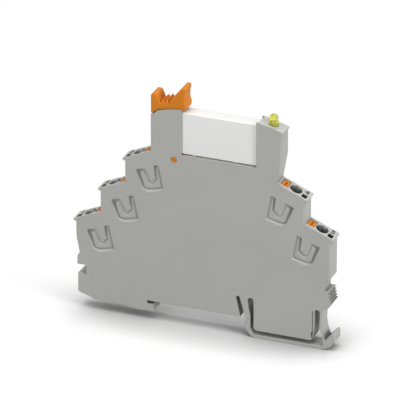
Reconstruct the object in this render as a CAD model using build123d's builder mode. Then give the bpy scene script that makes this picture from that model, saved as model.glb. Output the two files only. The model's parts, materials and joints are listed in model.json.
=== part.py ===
from build123d import *
import os
from math import atan2, cos, degrees, radians, sin, tan

os.makedirs("parts", exist_ok=True)

# Slim plug-in relay module: a flat housing that clips on a 35 mm top-hat rail, with a small
# relay standing in its upper edge. Millimetres. The origin is the middle of the rail seat,
# +X along the long side, Y across the thickness, +Z away from the rail.

# Thickness of the housing and of its walls
module_w = 6.2
front_wall = 0.9
cover_t = 0.7
side_wall = 0.9
ledge = 0.5
upright_r = 0.6
cut_over = 0.6
cover_gap = 0.06
half_w = module_w / 2
inner_front = -half_w + front_wall
inner_back = half_w - cover_t

# Rail that the housing grips
rail_w = 35.0
rail_flange_t = 1.0
hook_play = 0.7
hook_reach = 1.5
hook_drop = 2.8
catch_play = 0.1
catch_reach = 0.5
flange_gap = 0.1

# Relay that plugs in from above
relay_x = -6.2
relay_l = 28.0
relay_w = 5.0
relay_h = 15.2
relay_lift_gap = 0.4
case_wall = 0.45
case_r = 0.3
slide_gap = 0.1
lip_reach = 0.7
bay_floor_z = 56.4
floor_t = 1.2
relay_z = bay_floor_z + relay_lift_gap
relay_end = relay_x + relay_l
relay_top = relay_z + relay_h

# Tower on the left of the relay and column with the lamp on its right
tower_w = 11.05
tower_rise = 16.6
column_w = 8.95
column_rise = 16.6
tower_right = relay_x + lip_reach
tower_left = tower_right - tower_w
tower_top = bay_floor_z + tower_rise
column_left = relay_end - lip_reach
column_right = column_left + column_w
column_top = bay_floor_z + column_rise
column_waist_z = bay_floor_z + 4.6
column_foot_x = column_right - 1.55

# Stepped terminals: tilt and length of a label face, and the steps from one to the next
face_tilt = 23.2
face_run = 10.4
left_step_x = 9.0
left_step_z = 12.8
right_step_x = 9.35
right_step_z = 13.05
left_tip_fall = 4.75
right_tip_fall = 9.05
left_tip_z = bay_floor_z - left_tip_fall
right_tip_z = bay_floor_z - right_tip_fall
left_overhang = 1.1
right_overhang = 0.95
right_face_extra = 0.45
left_wall_h = 6.05
right_wall_h = 14.5
left_tip_drop = 0.7
right_tip_drop = 1.4
head_depth = 6.0
face_cos = cos(radians(face_tilt))
face_sin = sin(radians(face_tilt))
face_tan = tan(radians(face_tilt))

# Features of one terminal, measured along the label face from its tip
entry_r = 1.85
funnel_flare = 0.45
funnel_h = 0.9
entry_at = 5.5
button_at = 9.45
button_l = 2.6
button_wall = 1.05
button_w = module_w - 2 * button_wall
button_gap = 0.1
button_sunk = 0.25
button_end = 8.75
button_slot_w = 0.8
button_slot_l = 2.9
button_slot_depth = 0.7
collar_l = 0.45
collar_h = 0.45
collar_inset = 0.3
bridge_at = 1.85
bridge_y = -1.25
bridge_l = 1.9
bridge_w = 2.3
bridge_depth = 5.0
window_depth = 0.6
ledge_at = 3.9
ledge_l = 5.6
ledge_top = 14.3
ledge_h = 1.0
window_r = 0.5

# Release lever
pivot_inset = 2.8
pivot_drop = 2.1
pivot_x = tower_right - pivot_inset
pivot_z = bay_floor_z - pivot_drop
pivot_r = 1.0
pivot_gap = 0.05
hub_r = 1.9
arm_t = 3.3
arm_gap = 0.1
lever_gap = 0.3
toe_reach = 5.6
toe_t = 1.0
toe_gap = 0.1
head_t = 6.0
head_wing_h = 7.8
head_bump_h = 4.3
head_groove_h = 1.75
web_t = 0.8

# Sprung foot and lower edge
foot_bottom = -6.9
strap_t = 1.2
catch_x = rail_w / 2 + catch_play
block_gap = 2.8
block_l = 21.9
block_left = catch_x + block_gap
block_right = block_left + block_l
block_bottom = -4.2
foot_reach = 6.9
foot_right = block_right + foot_reach
slot_top = 7.7
base_reach = 25.9
base_left = -rail_w / 2 - base_reach
base_bottom = -3.3

# Sheet-metal strips and pins inside
metal_t = 0.5
spring_t = 0.35
metal_gap = 0.05
cover_clear = 0.55
metal_y = inner_front + metal_gap
metal_w = inner_back - metal_y - cover_clear
tongue_at = 3.15
pin_t = 0.5
pin_w = 1.2
pin_l = 3.3
pin_play = 0.05
pin_slot_gap = 0.27
fork_gap = 0.6
fork_top = bay_floor_z - floor_t - fork_gap
fork_depth = 4.2
pin_inset = 5.4
pin_pitch = 5.2
coil_pin_inset = 2.4
coil_pin_pitch = 4.4
contact_pins = [relay_x + pin_inset + pin_pitch * i for i in range(3)]
coil_pins = [relay_end - coil_pin_inset - coil_pin_pitch, relay_end - coil_pin_inset]
pin_end = relay_z - pin_l
riser_drop = 1.0
riser_gap = 2.4
spring_gap = 0.3
bar_start = 7.4
bar_turn = 14.2
leaf_at = 11.0
leaf_top = 10.2
leaf_end = 13.4
leaf_inset = 4.2
bend_r = 0.6
fork_r = 0.3
bar_step = 1.4
riser_fall = 0.8

# Lamp and circuit board
led_r = 1.5
led_x = column_left + 5.1
led_rise = 3.15
led_seat_drop = 1.25
led_bore_l = 4.5
led_rim_h = 0.9
led_foot_h = 1.3
lead_l = 8.0
led_flange_r = 1.75
led_gap = 0.05
lead_pitch = 2.54
lead_r = 0.25
board_t = 0.8
board_y = lead_r + led_gap
board_fall = 4.4
board_margin = 1.6
board_gap = 0.2
board_drop = 0.3
resistor_l = 3.2
resistor_w = 1.6
resistor_t = 0.6
diode_l = 3.4
diode_r = 0.7

# Inside the relay
base_h = 1.8
base_gap = 0.05
hole_gap = 0.02
pad_l = 0.8
pad_offset = 0.7
pad_inset = 2.0
pad_gap = 0.05
foot_pads = [contact_pins[0] - pad_offset, coil_pins[0] - pad_inset]
yoke_t = 0.9
yoke_w = 3.6
yoke_gap = 0.15
yoke_fall = 2.0
coil_head_gap = 1.0
bobbin_inset = 0.9
winding_inset = 0.8
winding_gap = 0.1
winding_r = 1.5
flange_t = 0.7
core_h = 4.6
core_w = 1.6
tube_t = 0.4
pole_gap = 0.4
armature_t = 0.85
armature_fall = 1.6
rock_gap = 0.1
blade_t = 0.25
blade_w = 3.0
blade_fall = 3.0
blade_lift = 0.8
blade_tip = 1.2
strip_r = 0.4
contact_r = 0.9
contact_h = 0.35
contact_shift = 0.5
fixed_h = 0.5
post_reach = 4.0
contact_stroke = 0.42
rest_gap = 0.03


# A plane parallel to the big faces, seen from the front
def side_plane(y):
    return Plane.XZ.offset(-y)


# The plane of a terminal's label face: x runs inwards from the tip, z points out of the face
def terminal_plane(side, tip):
    return Plane(origin=(tip[0], 0, tip[1]), x_dir=(-side * face_cos, 0, face_sin),
                 z_dir=(side * face_sin, 0, face_cos))


# A point of a terminal, along its label face and then down at right angles to it
def terminal_point(side, tip, along, depth):
    return (tip[0] - side * (along * face_cos + depth * face_sin),
            tip[1] + along * face_sin - depth * face_cos)


# The plane across a window's lower ledge: x runs down the front face, z along the ledge
def ledge_plane(side, tip):
    corner = terminal_point(side, tip, ledge_at, ledge_top)
    return Plane(origin=(corner[0], -half_w, corner[1]), x_dir=(-side * face_sin, 0, -face_cos),
                 z_dir=(-side * face_cos, 0, face_sin))


# Height of the underside of a terminal's head at a place along X
def head_underside(side, tip, x):
    return tip[1] + side * (tip[0] - x) * face_tan - head_depth / face_cos


# Terminal tips from the top down. Each terminal is (side, tip)
left_tip_x = tower_left - face_run
right_tip_x = column_foot_x + face_run + right_face_extra
left_tips = [(left_tip_x - left_step_x * i, left_tip_z - left_step_z * i) for i in range(3)]
right_tips = [(right_tip_x + right_step_x * i, right_tip_z - right_step_z * i) for i in range(2)]
left_walls = [tip[0] + left_overhang for tip in left_tips]
right_walls = [tip[0] - right_overhang for tip in right_tips]
terminals = [("left_upper", -1, left_tips[0]), ("left_middle", -1, left_tips[1]),
             ("left_lower", -1, left_tips[2]), ("right_upper", 1, right_tips[0]),
             ("right_lower", 1, right_tips[1])]

# Lower left edge of the housing, from the rail hook up to the lowest terminal
hook_x = -rail_w / 2 - hook_play
nose_x = -rail_w / 2 + hook_reach
hook_z = -rail_flange_t - flange_gap
lower_left = [(hook_x, 0), (hook_x, hook_z), (nose_x, hook_z), (nose_x, hook_z - hook_drop),
              (nose_x - 8.8, hook_z - hook_drop), (nose_x - 9.1, base_bottom + 0.1),
              (nose_x - 18, base_bottom), (base_left + 6.4, base_bottom + 0.3),
              (base_left + 3.4, base_bottom + 1.3), (base_left + 0.6, base_bottom + 2.0),
              (base_left, base_bottom + 2.6), (base_left, 5.9), (base_left + 3.1, 5.9),
              (base_left + 3.1, 9.3), (base_left - 0.2, 9.3), (base_left - 0.2, 12.4),
              (base_left + 0.7, 13.7)]

# Stepped left edge: wall, small overhanging tip, label face, next wall
left_edge = [(left_walls[2], left_tips[2][1] - left_wall_h)]
for i in (2, 1, 0):
    next_wall = left_walls[i - 1] if i > 0 else tower_left
    tip_x, tip_z = left_tips[i]
    left_edge += [(left_walls[i], tip_z - left_tip_drop), (tip_x + 0.35, tip_z - 0.55),
                  (tip_x, tip_z), (next_wall, tip_z + (next_wall - tip_x) * face_tan)]

# Stepped right edge, from the column's foot down to the ribbed grip
right_edge = [(column_right, column_waist_z), (column_right - 0.7, bay_floor_z + 0.6),
              (column_foot_x, right_tip_z + (right_tip_x - column_foot_x) * face_tan)]
for i in (0, 1):
    tip_x, tip_z = right_tips[i]
    wall_end = tip_z - right_wall_h
    if i == 0:
        wall_end = right_tips[1][1] + (right_tips[1][0] - right_walls[0]) * face_tan
    right_edge += [(tip_x, tip_z), (tip_x - 0.3, tip_z - 0.7),
                   (right_walls[i], tip_z - right_tip_drop), (right_walls[i], wall_end)]

# Notch above the grip, the grip's saw-tooth ribs and the thin arm down to the finger hook
grip_x = foot_right - 1.6
rib_count = 5
rib_pitch = 1.05
notch_bottom = 15.0
arm_x = foot_right - 4.5
grip_edge = [(grip_x - 0.8, 18.5), (grip_x - 1.9, 18.4), (grip_x - 1.9, notch_bottom)]
for i in range(rib_count):
    rib_z = notch_bottom - rib_pitch * i
    grip_edge += [(grip_x + 0.2 * i, rib_z), (grip_x - 0.5 + 0.2 * i, rib_z - rib_pitch + 0.1)]
grip_edge += [(grip_x - 0.6, 8.8), (arm_x + 0.25, 8.3), (arm_x, 5.5), (arm_x - 0.2, 2.5),
              (arm_x + 0.2, -0.2), (arm_x + 0.9, -2.6), (arm_x + 1.4, -3.4),
              (foot_right - 0.9, -0.8), (foot_right - 0.4, -0.6), (foot_right, -1.0),
              (foot_right + 0.1, -2.0), (foot_right, -3.9), (foot_right - 1.2, -5.5),
              (foot_right - 3.0, foot_bottom + 0.4), (foot_right - 5.0, foot_bottom)]

# Underside of the strap and the catch arm that grips the rail's right flange
strap_edge = [(block_left + 0.2, foot_bottom), (block_left - 1.4, foot_bottom + 0.7),
              (catch_x + 0.4, foot_bottom + 1.9), (catch_x - catch_reach - 0.1, -2.8),
              (catch_x - catch_reach, -1.9), (catch_x, hook_z), (catch_x, 0)]

# U-shaped channel that frees the strap from the inner block, with a slot up each side
slot_r = 1.1
strap_top = foot_bottom + strap_t
strap_channel = [(block_left - 2 * slot_r, slot_top - slot_r), (block_left - 1.9, 4.0),
                 (block_left - 1.2, 1.0), (block_left - 1.2, -3.5), (block_left - 0.1, strap_top),
                 (arm_x + 0.7, strap_top), (arm_x + 0.25, -2.2), (arm_x - 0.75, 1.0),
                 (block_right + 1.7 * slot_r, slot_top - slot_r), (block_right, slot_top - slot_r),
                 (block_right, 1.0), (block_right - 0.7, -3.4),
                 (block_right - 1.5, block_bottom), (block_left + 0.9, block_bottom),
                 (block_left, -3.3), (block_left, slot_top - slot_r)]
catch_slot_x = rail_w / 2 - 2.75
catch_slot_r = 0.7

# Hollow of the housing, which the rear cover closes
hollow = [(base_left + 4.2, 1.2), (base_left + 4.2, 10.6), (base_left + 1.8, 13.9)]
hollow.append(terminal_point(-1, left_tips[2], 0, head_depth))
for i in (1, 0):
    wall_x = left_walls[i] + side_wall
    hollow += [(wall_x, head_underside(-1, left_tips[i + 1], wall_x)),
               (wall_x, head_underside(-1, left_tips[i], wall_x))]
tower_base_z = pivot_z - hub_r - arm_gap - side_wall
hollow += [(tower_left + side_wall, head_underside(-1, left_tips[0], tower_left + side_wall)),
           (tower_left + 4.2, tower_base_z), (pivot_x + toe_reach + 0.6, tower_base_z),
           (pivot_x + toe_reach + 0.6, bay_floor_z - floor_t),
           (relay_end + slide_gap + side_wall, bay_floor_z - floor_t),
           (relay_end + slide_gap + side_wall, column_top - 4.6),
           (column_right - side_wall, column_top - 4.6),
           (column_right - side_wall, column_waist_z), (column_foot_x - side_wall, 52.0),
           (column_foot_x - side_wall, head_underside(1, right_tips[0], column_foot_x - side_wall))]
for i in (0, 1):
    wall_x = right_walls[i] - side_wall
    hollow.append((wall_x, head_underside(1, right_tips[i], wall_x)))
    if i == 0:
        hollow.append((wall_x, head_underside(1, right_tips[1], wall_x)))
hollow += [(right_walls[1] - side_wall, 20.3), (grip_x - 2.8, 19.0),
           (grip_x - 2.8, slot_top + 1.5), (block_right - 1.1, slot_top + 1.5),
           (block_right - 1.1, -2.2), (block_right - 1.9, block_bottom + 1.0),
           (block_left + 1.1, block_bottom + 1.0), (block_left + 1.1, slot_top + 1.5),
           (catch_slot_x - catch_slot_r - 1.0, slot_top + 1.5),
           (catch_slot_x - catch_slot_r - 1.0, 1.2)]

# Pegs that hold the rear cover, in bosses of the housing
peg_r = 0.7
peg_gap = 0.05
peg_end_gap = 0.3
peg_l = 2.0
boss_r = 1.6
bosses = [(-33.0, 4.5), (-6.0, 8.0), (12.8, 33.0), (38.0, 14.0), (-13.0, 32.0)]


# Housing: front wall, rim, terminal heads, tower, column, rail hook and sprung foot in one moulding
web_x = relay_x - slide_gap - web_t
toe_top = relay_z - toe_gap
toe_end = pivot_x + toe_reach
channel = [(tower_left - 1, pivot_z + 3.6), (pivot_x - 1.35, pivot_z - 1.6),
           (pivot_x + 1.35, pivot_z - 1.6), (pivot_x + hub_r + arm_gap, toe_top - toe_t - lever_gap),
           (toe_end + lever_gap, toe_top - toe_t - lever_gap), (toe_end + lever_gap, bay_floor_z + 1),
           (web_x, pivot_z + 5), (web_x, tower_top + 1), (tower_left - 1, tower_top + 1)]
window = [(3.0, 5.0), (2.9, 12.2), (4.6, 14.1), (10.2, 14.5), (11.8, 5.4),
          (9.9, 5.2), (8.5, 9.8), (7.0, 9.9), (6.7, 5.1)]
head_bottom = head_depth + ledge
funnel_taper = degrees(atan2(funnel_flare, funnel_h))
led_seat_z = column_top - led_seat_drop
seam_x = block_right - 0.9
seam_w = 0.3
seam_l = 8.0
seam_z = 3.0
seam_depth = 0.2
pocket_w = 0.8
pocket_l = 2.2
pocket_z = -2.1
pocket_depth = 0.6

with BuildPart() as housing:
    with BuildSketch(side_plane(half_w)):
        with BuildLine():
            Polyline(*lower_left, *left_edge, (tower_left, tower_top - 3.2),
                     (tower_left + 0.95, tower_top - 3.05), (tower_left + 2.15, tower_top - 1.7))
            ThreePointArc((tower_left + 2.15, tower_top - 1.7),
                          (tower_left + 6.35, tower_top - 0.55), (tower_right, tower_top))
            Polyline((tower_right, tower_top), (tower_right, bay_floor_z),
                     (column_left, bay_floor_z), (column_left, column_top))
            ThreePointArc((column_left, column_top), (column_left + 5.0, column_top - 1.05),
                          (column_right + 0.6, column_top - 2.5))
            Polyline((column_right + 0.6, column_top - 2.5), (column_right, column_top - 3.9),
                     *right_edge, *grip_edge, *strap_edge, lower_left[0])
        make_face()
        Polygon(*strap_channel, align=None, mode=Mode.SUBTRACT)
        with Locations((block_left - slot_r, slot_top - slot_r)):
            Circle(slot_r, mode=Mode.SUBTRACT)
        with Locations((block_right + 0.85 * slot_r, slot_top - slot_r)):
            Circle(0.85 * slot_r, mode=Mode.SUBTRACT)
        Polygon((catch_slot_x - catch_slot_r, slot_top - catch_slot_r), (catch_slot_x + 0.85, -0.5),
                (catch_x, -0.5), (catch_slot_x + catch_slot_r, slot_top - catch_slot_r),
                align=None, mode=Mode.SUBTRACT)
        with Locations((catch_slot_x, slot_top - catch_slot_r)):
            Circle(catch_slot_r, mode=Mode.SUBTRACT)
    extrude(amount=module_w)

    # Bay and grooves that hold the relay's ends
    with BuildSketch(Plane.XY.offset(bay_floor_z)):
        with Locations(((relay_x + relay_end) / 2, 0)):
            Rectangle(relay_l + 2 * slide_gap, relay_w + 2 * slide_gap)
    extrude(amount=tower_rise + 1, mode=Mode.SUBTRACT)

    # Channel for the lever's arm and toe, and the bore for its pivot
    with BuildSketch(side_plane(arm_t / 2 + arm_gap)):
        Polygon(*channel, align=None)
        with Locations((pivot_x, pivot_z)):
            Circle(hub_r + arm_gap)
    extrude(amount=arm_t + 2 * arm_gap, mode=Mode.SUBTRACT)
    with BuildSketch(side_plane(half_w)):
        with Locations((pivot_x, pivot_z)):
            Circle(pivot_r + pivot_gap)
    extrude(amount=module_w, mode=Mode.SUBTRACT)

    # Seat of the rear cover and the hollow behind it
    with BuildSketch(side_plane(half_w)):
        Polygon(*hollow, align=None)
    extrude(amount=cover_t, mode=Mode.SUBTRACT)
    with BuildSketch(side_plane(inner_back)):
        Polygon(*hollow, align=None)
        offset(amount=-ledge, kind=Kind.INTERSECTION)
    extrude(amount=inner_back - inner_front, mode=Mode.SUBTRACT)

    # Bosses for the cover's pegs
    with BuildSketch(side_plane(inner_back)):
        with Locations(*bosses):
            Circle(boss_r)
    extrude(amount=inner_back - inner_front)
    with BuildSketch(side_plane(inner_back)):
        with Locations(*bosses):
            Circle(peg_r + peg_gap)
    extrude(amount=peg_l + peg_end_gap, mode=Mode.SUBTRACT)

    # Wire entry, button guide, bridge slot and moulded window of each terminal
    for name, side, tip in terminals:
        face = terminal_plane(side, tip)
        with BuildSketch(face):
            with Locations((entry_at, 0)):
                Circle(entry_r)
            with Locations((button_at, 0)):
                Rectangle(button_l + 2 * button_gap, button_w + 2 * button_gap)
        extrude(amount=-(head_bottom + cut_over), mode=Mode.SUBTRACT)
        with BuildSketch(face):
            with Locations((entry_at, 0)):
                Circle(entry_r + funnel_flare)
        extrude(amount=-funnel_h, taper=funnel_taper, mode=Mode.SUBTRACT)
        with BuildSketch(face):
            with Locations((bridge_at, -side * bridge_y)):
                Rectangle(bridge_l, bridge_w)
        extrude(amount=-bridge_depth, mode=Mode.SUBTRACT)
        with BuildSketch(side_plane(-half_w)) as window_face:
            Polygon(*[terminal_point(side, tip, *point) for point in window], align=None)
            fillet(window_face.vertices().sort_by(Axis.Y)[0:3], radius=window_r)
        extrude(amount=-window_depth, mode=Mode.SUBTRACT)
        with BuildSketch(ledge_plane(side, tip)):
            Polygon((0, 0), (ledge_h, 0), (0, -side * window_depth), align=None)
        extrude(amount=ledge_l, mode=Mode.SUBTRACT)

    # Slots in the bay floor for the relay's pins
    with BuildSketch(Plane.XY.offset(bay_floor_z)):
        with Locations(*[(x, 0) for x in contact_pins + coil_pins]):
            Rectangle(pin_t + 2 * pin_slot_gap, pin_w + 2 * pin_slot_gap)
    extrude(amount=-(floor_t + cut_over), mode=Mode.SUBTRACT)

    # Seat and bore for the lamp in the column's top
    with BuildSketch(Plane.XY.offset(led_seat_z)):
        with Locations((led_x, 0)):
            Circle(led_flange_r + led_gap)
    extrude(amount=led_rise, mode=Mode.SUBTRACT)
    with BuildSketch(Plane.XY.offset(led_seat_z)):
        with Locations((led_x, 0)):
            Circle(led_r + led_gap)
    extrude(amount=-led_bore_l, mode=Mode.SUBTRACT)

    # Shallow seam and pocket at the right end of the inner block
    with BuildSketch(side_plane(-half_w)):
        with Locations((seam_x + seam_w / 2, seam_z)):
            Rectangle(seam_w, seam_l)
    extrude(amount=-seam_depth, mode=Mode.SUBTRACT)
    with BuildSketch(side_plane(-half_w)):
        with Locations((seam_x, pocket_z)):
            Rectangle(pocket_w, pocket_l)
    extrude(amount=-pocket_depth, mode=Mode.SUBTRACT)

    # Rounded front edges of the column and of the right-hand walls
    upright = housing.edges().filter_by(Axis.Z).filter_by_position(Axis.Y, -half_w, -half_w)
    for wall_x in [column_right] + right_walls:
        wall_edges = upright.filter_by_position(Axis.X, wall_x, wall_x)
        fillet(wall_edges.sort_by(SortBy.LENGTH)[-1], radius=upright_r)
housing.part.label = "housing"
export_step(housing.part, "parts/housing.step")

# Rear cover with its pegs
with BuildPart() as rear_cover:
    with BuildSketch(side_plane(half_w)):
        Polygon(*hollow, align=None)
        offset(amount=-cover_gap, kind=Kind.INTERSECTION)
    extrude(amount=cover_t)
    with BuildSketch(side_plane(inner_back)):
        with Locations(*bosses):
            Circle(peg_r)
    extrude(amount=peg_l)
rear_cover.part.label = "rear_cover"
export_step(rear_cover.part, "parts/rear_cover.step")

# Release lever: head over the tower, arm in its channel, toe under the relay, pivot pin
head_left = tower_left - 0.05
head_right = tower_right + 1.3
with BuildPart() as release_lever:
    with BuildSketch(side_plane(head_t / 2)):
        with BuildLine():
            Polyline((tower_right, tower_top + lever_gap), (head_right, tower_top + lever_gap + 0.05),
                     (head_right, tower_top + 1.2))
            ThreePointArc((head_right, tower_top + 1.2), (head_right - 0.4, tower_top + 3.8),
                          (head_right - 0.15, tower_top + 7.2))
            Polyline((head_right - 0.15, tower_top + 7.2), (head_right - 0.3, tower_top + head_wing_h),
                     (head_right - 1.4, tower_top + head_wing_h - 0.1),
                     (head_right - 2.0, tower_top + 6.6), (head_right - 2.5, tower_top + 6.1),
                     (head_right - 4.7, tower_top + 3.8), (head_right - 6.0, tower_top + 1.8),
                     (head_right - 6.4, tower_top + head_groove_h - 0.35),
                     (head_right - 7.1, tower_top + head_groove_h + 0.5),
                     (head_right - 7.7, tower_top + head_groove_h - 0.1),
                     (head_left + 3.0, tower_top + head_groove_h),
                     (head_left + 2.4, tower_top + 3.6), (head_left + 1.8, tower_top + head_bump_h),
                     (head_left + 0.5, tower_top + head_bump_h),
                     (head_left, tower_top + head_bump_h - 0.4), (head_left, tower_top - 2.65),
                     (tower_left + 0.95, tower_top - 2.6),
                     (tower_left + 2.15, tower_top - 1.7 + lever_gap))
            ThreePointArc((tower_left + 2.15, tower_top - 1.7 + lever_gap),
                          (tower_left + 6.35, tower_top - 0.55 + lever_gap),
                          (tower_right, tower_top + lever_gap))
        make_face()
    extrude(amount=head_t)
    with BuildSketch(side_plane(arm_t / 2)):
        Polygon((pivot_x - hub_r, pivot_z), (tower_left + 2.9, tower_top - 1),
                (tower_left + 3.1, tower_top + 0.6), (web_x - 0.15, tower_top + 0.8),
                (web_x - 0.15, pivot_z + 4.2), (pivot_x + hub_r - 0.1, pivot_z + 0.5), align=None)
        Polygon((pivot_x, toe_top), (toe_end, toe_top), (toe_end, toe_top - toe_t + 0.3),
                (pivot_x + 1.7, toe_top - toe_t), (pivot_x, pivot_z), align=None)
        with Locations((pivot_x, pivot_z)):
            Circle(hub_r)
    extrude(amount=arm_t)
    with BuildSketch(side_plane(half_w)):
        with Locations((pivot_x, pivot_z)):
            Circle(pivot_r)
    extrude(amount=module_w)
release_lever.part.label = "release_lever"
export_step(release_lever.part, "parts/release_lever.step")

# Push button of each terminal, with a screwdriver slot and a collar under the head
for name, side, tip in terminals:
    top = terminal_plane(side, tip).offset(-button_sunk)
    with BuildPart() as button:
        with BuildSketch(top):
            with Locations((button_at, 0)):
                Rectangle(button_l, button_w)
        extrude(amount=-(button_end - button_sunk))
        with BuildSketch(top):
            with Locations((button_at, 0)):
                Rectangle(button_slot_w, button_slot_l)
        extrude(amount=-button_slot_depth, mode=Mode.SUBTRACT)
        with BuildSketch(terminal_plane(side, tip).offset(-head_bottom - button_gap)):
            with Locations((button_at - collar_l / 2, 0)):
                Rectangle(button_l + collar_l, button_w - 2 * collar_inset)
        extrude(amount=-collar_h)
    button.part.label = "button_" + name
    export_step(button.part, "parts/button_" + name + ".step")

# Clamp spring of each terminal: a bent leaf whose end bears on the busbar's tongue
for name, side, tip in terminals:
    with BuildPart() as clamp_spring:
        with BuildSketch(side_plane(metal_y + metal_w - spring_gap)):
            with BuildLine():
                FilletPolyline(*[terminal_point(side, tip, *point) for point in
                                 [(leaf_at, bar_turn), (leaf_at, leaf_top), (leaf_inset, leaf_end)]],
                               radius=bend_r)
            trace(line_width=spring_t)
        extrude(amount=metal_w - spring_gap)
    clamp_spring.part.label = "clamp_spring_" + name
    export_step(clamp_spring.part, "parts/clamp_spring_" + name + ".step")

# Busbars: tongue in the terminal, run along the housing and riser to a fork or to the board
leaf_off = pin_t / 2 + pin_play + metal_t / 2
fork_bottom = fork_top - fork_depth
bar_routes = {
    "left_upper": (contact_pins[0] - leaf_off, fork_top, metal_w),
    "left_middle": (contact_pins[1] - leaf_off, fork_top, metal_w),
    "left_lower": (contact_pins[2] - leaf_off, fork_top, metal_w),
    "right_upper": (coil_pins[1] + riser_gap, fork_bottom - riser_fall, board_y - metal_y),
    "right_lower": (coil_pins[0] + coil_pin_pitch / 2, fork_bottom - riser_fall, board_y - metal_y),
}
for name, side, tip in terminals:
    riser_x, riser_top, bar_w = bar_routes[name]
    tongue_end = terminal_point(side, tip, tongue_at, bar_turn)
    with BuildPart() as busbar:
        with BuildSketch(side_plane(metal_y + bar_w)):
            with BuildLine():
                FilletPolyline(terminal_point(side, tip, tongue_at, bar_start), tongue_end,
                               (tongue_end[0] - side * bar_step, tongue_end[1] - riser_drop),
                               (riser_x, tongue_end[1] - riser_drop), (riser_x, riser_top),
                               radius=bend_r)
            trace(line_width=metal_t)
            if side < 0:
                with BuildLine():
                    FilletPolyline((riser_x, fork_bottom), (riser_x + 2 * leaf_off, fork_bottom),
                                   (riser_x + 2 * leaf_off, fork_top), radius=fork_r)
                trace(line_width=metal_t)
        extrude(amount=bar_w)
    busbar.part.label = "busbar_" + name
    export_step(busbar.part, "parts/busbar_" + name + ".step")

# Forks for the coil pins, soldered to the board
with BuildPart() as coil_sockets:
    with BuildSketch(side_plane(board_y)):
        for x in coil_pins:
            with BuildLine():
                FilletPolyline((x - leaf_off, fork_top), (x - leaf_off, fork_bottom),
                               (x + leaf_off, fork_bottom), (x + leaf_off, fork_top), radius=fork_r)
            trace(line_width=metal_t)
    extrude(amount=board_y - metal_y)
coil_sockets.part.label = "coil_sockets"
export_step(coil_sockets.part, "parts/coil_sockets.step")

# Circuit board, with its lower arm under the relay and its upper arm in the column
board_bottom = fork_bottom - board_fall
board_left = coil_pins[0] - board_margin
board_neck = relay_end + slide_gap + side_wall + ledge + board_gap
with BuildPart() as circuit_board:
    with BuildSketch(side_plane(board_y + board_t)):
        Polygon((board_left, board_bottom), (column_foot_x - 1.9, board_bottom),
                (column_foot_x - 1.9, column_waist_z - 5), (column_right - 1.7, column_waist_z - 0.5),
                (column_right - 1.7, column_top - 6.5), (board_neck, column_top - 6.5),
                (board_neck, pin_end - board_drop), (board_left, pin_end - board_drop), align=None)
    extrude(amount=board_t)
circuit_board.part.label = "circuit_board"
export_step(circuit_board.part, "parts/circuit_board.step")

# Series resistor and free-wheeling diode on the board
with BuildPart() as resistor:
    with BuildSketch(side_plane(board_y)):
        with Locations((board_neck + 1.9, column_waist_z - 3.5)):
            Rectangle(resistor_w, resistor_l)
    extrude(amount=resistor_t)
resistor.part.label = "resistor"
export_step(resistor.part, "parts/resistor.step")

with BuildPart() as diode:
    with BuildSketch(Plane.XY.offset(board_bottom + 2.5)):
        with Locations((board_neck + 1.2, board_y - diode_r)):
            Circle(diode_r)
    extrude(amount=diode_l)
diode.part.label = "diode"
export_step(diode.part, "parts/diode.step")

# Lamp: flanged lens with a domed end, and its two leads
led_top = led_seat_z + led_rim_h + led_rise
led_base = led_seat_z - led_foot_h
with BuildPart() as led:
    with BuildSketch(Plane.XZ):
        with BuildLine():
            Polyline((led_x, led_top), (led_x, led_base), (led_x + led_r, led_base),
                     (led_x + led_r, led_seat_z), (led_x + led_flange_r, led_seat_z),
                     (led_x + led_flange_r, led_seat_z + led_rim_h),
                     (led_x + led_r, led_seat_z + led_rim_h),
                     (led_x + led_r, led_top - led_r))
            RadiusArc((led_x + led_r, led_top - led_r), (led_x, led_top), -led_r)
        make_face()
    revolve(axis=Axis((led_x, 0, 0), (0, 0, 1)))
led.part.label = "led"
export_step(led.part, "parts/led.step")

with BuildPart() as led_leads:
    with BuildSketch(Plane.XY.offset(led_base)):
        with Locations((led_x - lead_pitch / 2, 0), (led_x + lead_pitch / 2, 0)):
            Circle(lead_r)
    extrude(amount=-lead_l)
led_leads.part.label = "led_leads"
export_step(led_leads.part, "parts/led_leads.step")

# Relay: case open at the bottom, on a base with two feet that stand on the bay floor
base_top = relay_z + base_h
with BuildPart() as relay_case:
    with BuildSketch(Plane.XY.offset(relay_z)):
        with Locations((relay_x + relay_l / 2, 0)):
            Rectangle(relay_l, relay_w)
    extrude(amount=relay_h)
    fillet(relay_case.edges().filter_by(Axis.Z), radius=case_r)
    with BuildSketch(Plane.XY.offset(relay_z)):
        with Locations((relay_x + relay_l / 2, 0)):
            Rectangle(relay_l - 2 * case_wall, relay_w - 2 * case_wall)
    extrude(amount=relay_h - case_wall, mode=Mode.SUBTRACT)
relay_case.part.label = "relay_case"
export_step(relay_case.part, "parts/relay_case.step")

with BuildPart() as relay_base:
    with BuildSketch(Plane.XY.offset(relay_z)):
        with Locations((relay_x + relay_l / 2, 0)):
            Rectangle(relay_l - 2 * (case_wall + base_gap), relay_w - 2 * (case_wall + base_gap))
    extrude(amount=base_top - relay_z)
    with BuildSketch(Plane.XY.offset(relay_z)):
        with Locations(*[(x, 0) for x in foot_pads]):
            Rectangle(pad_l, relay_w - 2 * (case_wall + base_gap))
    extrude(amount=-(relay_lift_gap - pad_gap))
    with BuildSketch(Plane.XY.offset(relay_z)):
        with Locations(*[(x, 0) for x in contact_pins + coil_pins]):
            Rectangle(pin_t + 2 * hole_gap, pin_w + 2 * hole_gap)
    extrude(amount=base_top - relay_z, mode=Mode.SUBTRACT)
relay_base.part.label = "relay_base"
export_step(relay_base.part, "parts/relay_base.step")

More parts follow.
